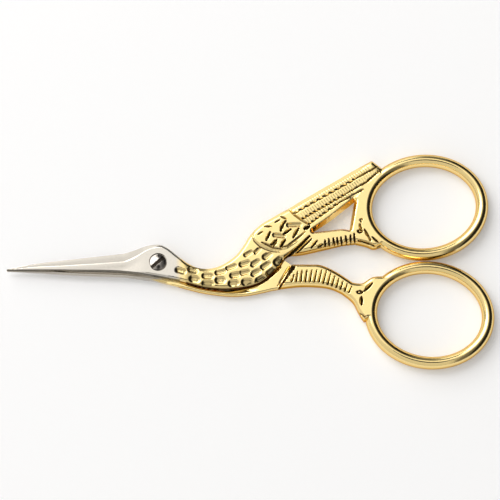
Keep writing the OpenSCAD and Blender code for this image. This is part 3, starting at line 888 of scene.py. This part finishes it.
def front_bottom(p, upper, lower, opening):
    """Height of the front half's lower face: the ride face, then the full thickness."""
    s = in_mm("forging")
    full, ride = s.half_thickness, s.ride_gap / 2
    x = p[:, 0]
    face = ride - (full + ride) * smoothstep(*STEP_DOWN, x)
    width = table(x, [*zip(STEP_DOWN, (0.05, s.leg_round))])
    gap = np.minimum(distance(p, upper), distance(p, lower))
    wall = edge_drop(distance(p, opening, True), s.draft, full)
    return face + np.maximum(edge_drop(gap, width, width * ROUND_DEPTH),
                             wall * smoothstep(24, 27, x))


def back_top(p, upper, lower):
    """Height of the back half's ride face, hollow beside the honed strip along the cutting edge,
    and falling gently under the stork."""
    x = p[:, 0]
    gap = distance(p, lower)
    hollow = between(gap, HOLLOW_GAPS) * between(x, HONED)
    fall = BAND_FALL * smoothstep(0.3, 0.95, gap) * between(x, BAND_FALLS)
    soft = table(x, [(2, 0.05), (6, 0.35)])
    ride = in_mm("forging").ride_gap / 2
    return -ride - HONED_HOLLOW * hollow - fall - edge_drop(gap, soft, soft * 0.8)


def back_bottom(p, upper, lower):
    """Height of the back blade's outer face, with its bevel along the cutting edge."""
    s = in_mm("forging")
    x = p[:, 0]
    face = blade_height(x)
    cut = bevel_width(x)
    ground = table(x, GROUND)
    deep = ground * (face - s.ride_gap / 2 - s.edge_thickness) + (1 - ground) * 0.6
    gap = distance(p, lower)
    bevel = deep * (1 - np.clip(gap / cut, 0, 1))
    low = ground * bevel + (1 - ground) * edge_drop(gap, cut, deep)
    spine = table(x, [*SPINE, (-2, s.lap_round)])
    return -face + np.maximum(low, edge_drop(distance(p, upper), spine, spine * ROUND_DEPTH))


def leg_bottom(p, upper, lower, seam):
    """Height of the lower leg's lower face."""
    s = in_mm("forging")
    gap = np.minimum(distance(p, upper), distance(p, lower))
    return edge_drop(gap, s.leg_round, s.leg_round * ROUND_DEPTH) - s.half_thickness


def leg_top(p, upper, lower, seam):
    """Height of the lower leg's upper face, with its shoulder at the band."""
    shoulder = edge_drop(distance(p, seam), SHOULDER_WIDTH, SHOULDER_DEPTH)
    return np.minimum(-leg_bottom(p, upper, lower, seam), in_mm("forging").half_thickness - shoulder)


def front_marks():
    """Scales, wing, tail and ribs of the front half; its back has only the tail and the ribs."""
    r = in_mm("relief_sizes")
    slot, vane, rib = r.slot_depth, r.vane_depth, r.rib_depth
    marks, fine = Marks(), Marks()
    for x, y, turn, long, wide in SCALES_SEEN:
        marks.pocket(seen((x, y)), turn, long, wide, r.scale_depth)
    marks.lines(WING_SLOTS_SEEN, 0.34, slot, wall=0.75, taper=0.4)
    marks.lines(WING_POCKETS_SEEN, 0.48, slot * 0.5, wall=0.6, ends=1.6, dull=0.5)
    marks.lines(WING_MARKS_SEEN, 0.24, slot * 0.6, taper=0.5, dull=0.8)
    marks.lines(SHIELD_GROOVES_SEEN, 0.3, slot * 0.6, taper=0.6, dull=0.8)
    marks.lines([SHIELD_RIM_SEEN], 0.2, slot * 0.3, taper=0.7, dull=0.55)
    marks.lines([VANE_ENDS_SEEN], 0.24, vane, dull=0.5)
    blade_edge = curve(along(FRONT_BLADE + FRONT_HEAD, 1), 0.1)
    # Painted shade: a dark line with no depth along the front blade's lower edge, where it laps the
    # back blade, and a 0.04 mm groove along the stork's lower edge that is darkened as painted shade.
    fine.line(blade_edge + (0, 0.07), 0.13, 0.0, spread=0.3)
    fine.line(curve([*along(FRONT_BODY, 1), LEG_ROOT_LOW], 0.1), 0.27, 0.04)
    marks.lines([NOTCH_SEEN], 0.46, rib * 1.3, wall=0.7, taper=0.3)
    for side in (1, -1):
        marks.side = fine.side = side
        for groove in TAIL_GROOVES_SEEN:
            path = straight(seen(groove["line"]), 0.1)
            dashed = path[:, 0] < seen((groove["dashed_to"], 0))[0]
            marks.dashes(path[dashed], BARB_PITCH, 0.25, vane * 1.7)
            marks.line(path[~dashed], 0.22, vane * 1.4, taper=0.3)
            for p in path[::round(BARB_PITCH / 0.2)][:-3]:
                fine.line([p - BARB_WAY * 1.05, p - BARB_WAY * 0.3], 0.15, vane * 0.09, dull=0.22)
        marks.lines([TAIL_WEDGE_SEEN], 0.4, rib * 0.6, taper=0.6, dull=0.6)
        marks.lines([BODY_GROOVE_SEEN], 0.46, rib * 1.4, wall=0.7, spread=0.45)
        marks.lines(UPPER_LEG_GROOVES_SEEN, 0.3, rib, wall=0.8, taper=0.5)
        marks.lines(UPPER_RIBS_SEEN, 0.25, rib, wall=0.8, taper=0.2, spread=0.2)
        marks.lines(UPPER_FOOT_SEEN["recesses"], 0.28, rib, taper=0.3, dull=0.6)
        marks.lines(UPPER_FOOT_SEEN["lines"], 0.25, rib * 0.9, taper=0.4)
        marks.line(ring_of(seen(UPPER_FOOT_SEEN["eye"]) + circle(1, 20) * (0.4, 0.25)), 0.2, rib)
        marks.line(seen(UPPER_FOOT_SEEN["loop"]) + circle(0.28, 16)[2:13], 0.15, rib * 0.7)
    return [marks.helper("front marks"), fine.helper("fine front marks")]


def back_marks():
    """Ribs and foot of the lower leg, and on its front the shoulder, painted shade on the back
    blade's strip below the front blade, and a shallow groove darkened as painted shade beside the
    stork's lower edge.
    """
    rib = in_mm("relief_sizes").rib_depth
    marks = Marks()
    rows = [straight(seen(row), 0.05) for row in (LOWER_RIB_TOPS_SEEN, LOWER_RIB_FEET_SEEN)]
    for side in (1, -1):
        marks.side = side
        for t in np.arange(LOWER_RIB_COUNT) / (LOWER_RIB_COUNT - 1):
            marks.line([row[round(t * (len(row) - 1))] for row in rows], 0.29, rib, ends=0.7,
                       spread=0.55)
        marks.lines(LOWER_FOOT_SEEN["recesses"], 0.4, rib * 1.2, taper=0.5)
        marks.lines(LOWER_FOOT_SEEN["lines"], 0.24, rib * 0.9, taper=0.5)
        if side > 0:
            marks.lines([SHOULDER_SEEN], 0.5, rib, wall=0.5, spread=0.5)
            marks.lines([SHOULDER_LINE_SEEN], 0.2, rib * 0.4)
            blade_edge = curve(along(BACK_BLADE + BACK_HEAD[:6], 1), 0.1)
            # Painted shade: the back blade's strip below the front blade's edge is darkened with no
            # depth, and beside the stork's lower edge a 0.1 mm groove is darkened as the front half's
            # shadow.
            marks.line(blade_edge[::-1] + (0, 0.2), 0.5, 0.0, dull=0.55, spread=0.3)
            marks.line(curve(along(FRONT_BODY, 1), 0.1), 0.34, 0.1, spread=0.4)
        marks.line(ring_of(seen(LOWER_FOOT_SEEN["eye"]) + circle(1, 20) * (0.5, 0.2)), 0.19, rib)
    return [marks.helper("back marks")]


class SCISSORS_OT_front_half(bpy.types.Operator):
    """Make the front half: polished blade, stork with its wing and tail, and the upper leg"""
    bl_idname = "scissors.front_half"
    bl_label = "Front half"

    def execute(self, context):
        stations = FRONT_BLADE + FRONT_HEAD + FRONT_BODY
        upper = edge_line([*along(stations, 0), *WING_TOP, *TAIL_TOP], FRONT_WEB_HIGH)
        lower = edge_line([*along(stations, 1), *FRONT_LEG_LOW], FRONT_WEB_LOW)
        arc = oval(FRONT_BOW, np.linspace(*FRONT_WEB_ARC, 90))
        sides = [curve(side) for side in OPENING]
        opening = closed(joined(*sides))
        root, foot, tail_end = (straight(line) for line in (LEG_ROOT, UPPER_FOOT_LINE, TAIL_END))
        screw = in_mm("screw_sizes")
        recess = screw.head_d / 2 + screw.clearance
        rings = [ring_of(circle(radius, 72)) for radius in (recess, recess - 0.01)]
        edge = upper[upper[:, 0] < -1]
        verts, faces = triangles(
            [closed(joined(lower, arc, upper[::-1])), opening[::-1], bore()],
            [plating_line(FRONT_HEAD), root, foot, tail_end, *rings], [FRONT_RELIEF],
            beside(edge, bevel_width(edge[:, 0]), RIDGE_SHARES))
        blade, leg, web, figure = split(
            faces, verts, blade_area(FRONT_HEAD),
            np.concatenate([root, sides[2][::-1], foot[::-1], [(36, 0), (23, 0)]]),
            np.concatenate([foot, sides[1][::-1], tail_end, [(60, 30), (60, 0)]]))
        helpers = front_marks()
        half_pieces("front_half", verts, (front_top, front_bottom), (upper, lower, opening), helpers, [
            ("polished_front_blade", blade, "nickel_plate", "front_blade"),
            ("stork_figure", figure, "gold_plate", "front_body"),
            ("stork_upper_leg", leg, "gold_plate", "front_leg"),
            ("upper_bow_web", web, "gold_plate", "front_bow")])
        for helper in helpers:
            bpy.data.objects.remove(helper)
        return {"FINISHED"}


class SCISSORS_OT_back_half(bpy.types.Operator):
    """Make the back half: polished blade, the band behind the stork, and the lower leg"""
    bl_idname = "scissors.back_half"
    bl_label = "Back half"

    def execute(self, context):
        stations = BACK_BLADE + BACK_HEAD + BACK_BAND
        upper, lower = (curve(along(stations, side)) for side in (0, 1))
        seam = straight(BACK_BAND[-1][::-1])
        edge = lower[lower[:, 0] < -1][::-1]
        ridge = beside(edge, bevel_width(edge[:, 0]), BACK_RIDGE_SHARES)
        strip = beside(edge, np.ones(len(edge)), HONED_OFFSETS)
        verts, faces = triangles([closed(joined(lower, seam, upper[::-1])), bore()],
                                 [plating_line(BACK_HEAD)], guides=ridge + strip)
        blade, band = split(faces, verts, blade_area(BACK_HEAD))
        helpers = back_marks()
        half_pieces("back_half", verts, (back_top, back_bottom), (upper, lower), helpers, [
            ("polished_back_blade", blade, "nickel_plate", "back_blade"),
            ("stork_back_band", band, "gold_plate", "back_body")])

        upper = edge_line(along(BACK_LEG, 0), BACK_WEB_HIGH)
        lower = edge_line(along(BACK_LEG, 1), BACK_WEB_LOW)
        arc = oval(BACK_BOW, np.linspace(*BACK_WEB_ARC, 60))
        outer = closed(joined(lower, arc, upper[::-1], seam[::-1]))
        foot = BACK_LEG[-1][::-1]
        verts, faces = triangles([outer], [straight(foot)], [BACK_RELIEF])
        web, leg = split(faces, verts, np.array([*foot, (44, 5), (60, -14), (30, -14)]))
        half_pieces("back_half", verts, (leg_top, leg_bottom), (upper, lower, seam), helpers, [
            ("stork_lower_leg", leg, "gold_plate", "back_leg"),
            ("lower_bow_web", web, "gold_plate", "back_bow")])
        for helper in helpers:
            bpy.data.objects.remove(helper)
        return {"FINISHED"}


# The finger bows and the screw.

def rim_tree(name):
    """Geometry Nodes: an oval path with an oval section swept along it."""
    tree, given = geometry_tree(name, {
        "Half length": "Float", "Half width": "Float", "Rim width": "Float", "Rim height": "Float",
        "Tilt": "Float", "Path steps": "Int", "Rim sides": "Int", "Centre": "Vector"})
    ovals = []
    for steps, radius, across, up in (("Path steps", 1.0, "Half length", "Half width"),
                                      ("Rim sides", 0.5, "Rim width", "Rim height")):
        ring = add(tree, "GeometryNodeCurvePrimitiveCircle",
                   {"Resolution": given[steps], "Radius": radius})
        size = add(tree, "ShaderNodeCombineXYZ", {"X": given[across], "Y": given[up], "Z": 1.0})
        ovals.append(add(tree, "GeometryNodeTransform", {"Geometry": ring, "Scale": size}))
    level = add(tree, "GeometryNodeSetCurveNormal", {"Curve": ovals[0]}, mode="Z_UP")
    swept = add(tree, "GeometryNodeCurveToMesh", {"Curve": level, "Profile Curve": ovals[1]})
    turn = add(tree, "ShaderNodeCombineXYZ", {"Z": given["Tilt"]})
    put = add(tree, "GeometryNodeTransform",
              {"Geometry": swept, "Translation": given["Centre"], "Rotation": turn})
    end_tree(tree, add(tree, "GeometryNodeSetShadeSmooth", {"Geometry": put}), given["Material"])


class SCISSORS_OT_finger_bows(bpy.types.Operator):
    """Make the rims of the two finger bows"""
    bl_idname = "scissors.finger_bows"
    bl_label = "Finger bows"

    def execute(self, context):
        sizes = context.scene.bow_sizes
        values = {key: getattr(sizes, key) for key in type(sizes).__annotations__}
        values["half_length"] -= RIM_TRIM * MM
        values["half_width"] -= RIM_TRIM * MM
        for name, bow, body, node in (("upper_finger_rim", FRONT_BOW, "front_half", "front_bow"),
                                      ("lower_finger_rim", BACK_BOW, "back_half", "back_bow")):
            raw = linked(name + "_raw", bpy.data.meshes.new(name))
            modified(raw, "Swept rim", rim_tree, **values, tilt=math.radians(bow["tilt"]),
                     centre=place(*bow["centre"], 0), material=gold_plate())
            claim(baked(raw, name), body, "gold_plate", node)
        return {"FINISHED"}


def turned(profile, around=96):
    """A closed shape that a profile of radii and heights makes round the pivot."""
    shape = bmesh.new()
    turns = np.arange(around) * 2 * math.pi / around
    rows = [[shape.verts.new(place(r * math.cos(a), r * math.sin(a), z))
             for a in (turns if r > 1e-9 else [0])] for r, z in profile]
    for low, high in zip(rows, rows[1:]):
        for k in range(around):
            ring = [row[m % len(row)] for row, m in ((low, k), (low, k + 1), (high, k + 1), (high, k))]
            shape.faces.new(list(dict.fromkeys(ring)))
    bmesh.ops.recalc_face_normals(shape, faces=shape.faces)
    return shape


def mesh_from(shape, name):
    """A linked object with the mesh of a shape, which is then freed."""
    mesh = bpy.data.meshes.new(name)
    shape.to_mesh(mesh)
    shape.free()
    return linked(name, mesh)


class SCISSORS_OT_pivot_screw(bpy.types.Operator):
    """Make the slotted pivot screw"""
    bl_idname = "scissors.pivot_screw"
    bl_label = "Pivot screw"

    def execute(self, context):
        s, forging = in_mm("screw_sizes"), in_mm("forging")
        radius, shank, full = s.head_d / 2, s.shank_d / 2, forging.half_thickness
        seat = full - s.head_h + forging.ride_gap
        brim = full + SCREW_PROUD - s.dome
        shares = np.arange(1, 9) / 8
        profile = [(0, -full), (shank - 0.15, -full), (shank, -full + 0.15), (shank, seat),
                   (radius - 0.05, seat), (radius, seat + 0.05), (radius, brim - BRIM_ROUND)]
        profile += [(radius - BRIM_ROUND + BRIM_ROUND * math.cos(a),
                     brim - BRIM_ROUND + BRIM_ROUND * math.sin(a)) for a in shares * math.pi / 2]
        profile += [((radius - BRIM_ROUND) * (1 - t), brim + s.dome * (1 - (1 - t) ** 2))
                    for t in shares]
        obj = mesh_from(turned(profile), "slotted_screw_raw")
        cut = obj.modifiers.new("Slot", "BOOLEAN")
        cutter = slot_cutter(s, brim + s.dome)
        cut.object = cutter
        cut.operation = "DIFFERENCE"
        cut.solver = "EXACT"
        soft = obj.modifiers.new("Slot edges", "BEVEL")
        soft.width = 0.03 * MM
        soft.segments = 2
        soft.limit_method = "ANGLE"
        soft.angle_limit = math.radians(50)
        out = baked(obj, "slotted_screw", SCREW_SHARP)
        bpy.data.objects.remove(cutter)
        out.data.materials.clear()
        out.data.materials.append(screw_steel())
        claim(out, "back_half", "screw_steel", "pivot_screw")
        return {"FINISHED"}


def slot_cutter(sizes, top):
    """A box that cuts the screwdriver slot."""
    c, s = math.cos(sizes.slot_angle), math.sin(sizes.slot_angle)
    shape = bmesh.new()
    bmesh.ops.create_cube(shape, size=2)
    for v in shape.verts:
        x, y = v.co.x * sizes.head_d, v.co.y * sizes.slot_width / 2
        z = top - sizes.slot_depth if v.co.z < 0 else top + 1
        v.co = place(x * c - y * s, x * s + y * c, z)
    return mesh_from(shape, "slot cutter")


# The studio.

def studio_world():
    """Light from above and from the left, darkness on the right, where polished metal gets its
    black lines, and the small dark shape of the camera overhead. The camera sees white."""
    world = bpy.data.worlds.new("Light tent")
    bpy.context.scene.world = world
    tree = empty_tree(world)
    way = add(tree, "ShaderNodeTexCoord").outputs["Generated"]
    parts = add(tree, "ShaderNodeSeparateXYZ", {0: way}).outputs

    def towards(direction, from_degrees, to_degrees):
        """1 around a direction, fading to 0 between two angles from it."""
        near = add(tree, "ShaderNodeVectorMath",
                   {0: way, 1: Vector(direction).normalized()}, operation="DOT_PRODUCT")
        far_end, near_end = (math.cos(math.radians(a)) for a in (to_degrees, from_degrees))
        return add(tree, "ShaderNodeMapRange", {
            "Value": near.outputs["Value"], "From Min": far_end, "From Max": near_end},
            interpolation_type="SMOOTHSTEP")

    half_dark = add(tree, "ShaderNodeMath", {0: towards(DARK_SIDE, 73, 84), 1: 0.8},
                    operation="MULTIPLY")
    lean = add(tree, "ShaderNodeMath", {0: parts["Y"], 1: parts["Z"]}, operation="ARCTAN2")
    off = add(tree, "ShaderNodeMath", {0: lean, 1: math.radians(44)}, operation="SUBTRACT")
    off = add(tree, "ShaderNodeMath", {0: off}, operation="ABSOLUTE")
    band = add(tree, "ShaderNodeMapRange",
               {"Value": off, "From Min": math.radians(11), "From Max": math.radians(8)},
               interpolation_type="SMOOTHSTEP")
    dark = towards(DARK_SIDE, 60, 70)
    for other in (towards(CAMERA_SHAPE, 9, 14), band, half_dark):
        dark = add(tree, "ShaderNodeMath", {0: dark, 1: other}, operation="MAXIMUM")
    bright = add(tree, "ShaderNodeMapRange",
                 {"Value": parts["Y"], "From Min": -1.0, "To Min": 0.68, "To Max": 1.06})
    bright = add(tree, "ShaderNodeMath", {0: towards(BRIGHT_SIDE, 15, 50), 1: 0.36, 2: bright},
                 operation="MULTIPLY_ADD")
    level = add(tree, "ShaderNodeMapRange", {"Value": dark, "To Min": bright, "To Max": 0.02})
    tent = add(tree, "ShaderNodeBackground", {"Color": level, "Strength": 1.0})
    white = add(tree, "ShaderNodeBackground", {"Color": (1, 1, 1, 1), "Strength": 1.0})
    camera = add(tree, "ShaderNodeLightPath").outputs["Is Camera Ray"]
    mixed = add(tree, "ShaderNodeMixShader", {0: camera, 1: tent, 2: white})
    add(tree, "ShaderNodeOutputWorld", {"Surface": mixed})


def paper():
    """Matt white paper, shown to the camera a little lighter, as the pictured white table is."""
    material = bpy.data.materials.new("White paper")
    tree = empty_tree(material)
    where = add(tree, "ShaderNodeTexCoord").outputs["Object"]
    tooth = add(tree, "ShaderNodeTexNoise", {"Vector": where, "Scale": 900.0, "Detail": 3.0})
    bump = add(tree, "ShaderNodeBump", {"Height": tooth, "Distance": 0.00005, "Strength": 0.5})
    shader = add(tree, "ShaderNodeBsdfPrincipled", {
        "Base Color": (*bpy.context.scene.studio.floor, 1), "Roughness": 0.9,
        "Specular IOR Level": 0.1, "Normal": bump})
    ray = add(tree, "ShaderNodeLightPath").outputs
    shown = add(tree, "ShaderNodeMath", {0: ray["Is Camera Ray"], 1: ray["Is Glossy Ray"]},
                operation="MAXIMUM")
    lift = add(tree, "ShaderNodeMath", {0: shown, 1: 0.21}, operation="MULTIPLY")
    glow = add(tree, "ShaderNodeEmission", {"Color": (1, 1, 1, 1), "Strength": lift})
    total = add(tree, "ShaderNodeAddShader", {0: shader, 1: glow})
    add(tree, "ShaderNodeOutputMaterial", {"Surface": total})
    return material


def aimed(name, data, where):
    """A lamp or a camera in its place, turned to what the camera looks at."""
    obj = linked(name, data)
    obj.location = where
    obj.rotation_euler = (LOOKED_AT - Vector(where)).to_track_quat("-Z", "Y").to_euler()
    return obj


class SCISSORS_OT_studio(bpy.types.Operator):
    """Make the floor, the light and the camera"""
    bl_idname = "scissors.studio"
    bl_label = "Studio"

    def execute(self, context):
        scene, studio = context.scene, context.scene.studio
        floor = bpy.data.meshes.new("floor")
        floor.from_pydata([(x * FLOOR_REACH, y * FLOOR_REACH, 0) for x, y in
                           ((-1, -1), (1, -1), (1, 1), (-1, 1))], [], [(0, 1, 2, 3)])
        floor.materials.append(paper())
        linked("floor", floor)
        studio_world()
        softbox = bpy.data.lights.new("key softbox", "AREA")
        softbox.shape = "SQUARE"
        softbox.size = SOFTBOX_SIZE
        softbox.energy = SOFTBOX_WATTS
        aimed("key softbox", softbox, SOFTBOX_AT)
        camera = bpy.data.cameras.new("camera")
        camera.lens = studio.lens
        camera.clip_start = 0.01
        away = studio.lens * studio.picture_width / camera.sensor_width
        a = studio.camera_elevation
        where = LOOKED_AT + away * Vector((0, -math.cos(a), math.sin(a)))
        scene.camera = aimed("camera", camera, where)
        scene.view_settings.view_transform = "Standard"
        return {"FINISHED"}


class SCISSORS_PT_panel(bpy.types.Panel):
    bl_label = "Stork scissors"
    bl_space_type = "VIEW_3D"
    bl_region_type = "UI"
    bl_category = "Scissors"

    def draw(self, context):
        for operator in OPERATORS:
            self.layout.operator(operator.bl_idname)
        for name in GROUPS:
            box = self.layout.box()
            group = getattr(context.scene, name)
            for key in type(group).__annotations__:
                box.prop(group, key)


OPERATORS = (SCISSORS_OT_front_half, SCISSORS_OT_back_half, SCISSORS_OT_finger_bows,
             SCISSORS_OT_pivot_screw, SCISSORS_OT_studio)
GROUPS = {"forging": ForgingSizes, "relief_sizes": ReliefSizes, "bow_sizes": BowSizes,
          "screw_sizes": ScrewSizes, "finishes": Finishes, "studio": Studio}


def register():
    for cls in (*GROUPS.values(), *OPERATORS, SCISSORS_PT_panel):
        bpy.utils.register_class(cls)
    for name, cls in GROUPS.items():
        setattr(bpy.types.Scene, name, PointerProperty(type=cls))


def unregister():
    for name in GROUPS:
        delattr(bpy.types.Scene, name)
    for cls in (SCISSORS_PT_panel, *OPERATORS[::-1], *list(GROUPS.values())[::-1]):
        bpy.utils.unregister_class(cls)


def main():
    register()
    bpy.ops.scissors.front_half()
    bpy.ops.scissors.back_half()
    bpy.ops.scissors.finger_bows()
    bpy.ops.scissors.pivot_screw()
    bpy.ops.scissors.studio()


if __name__ == "__main__":
    main()
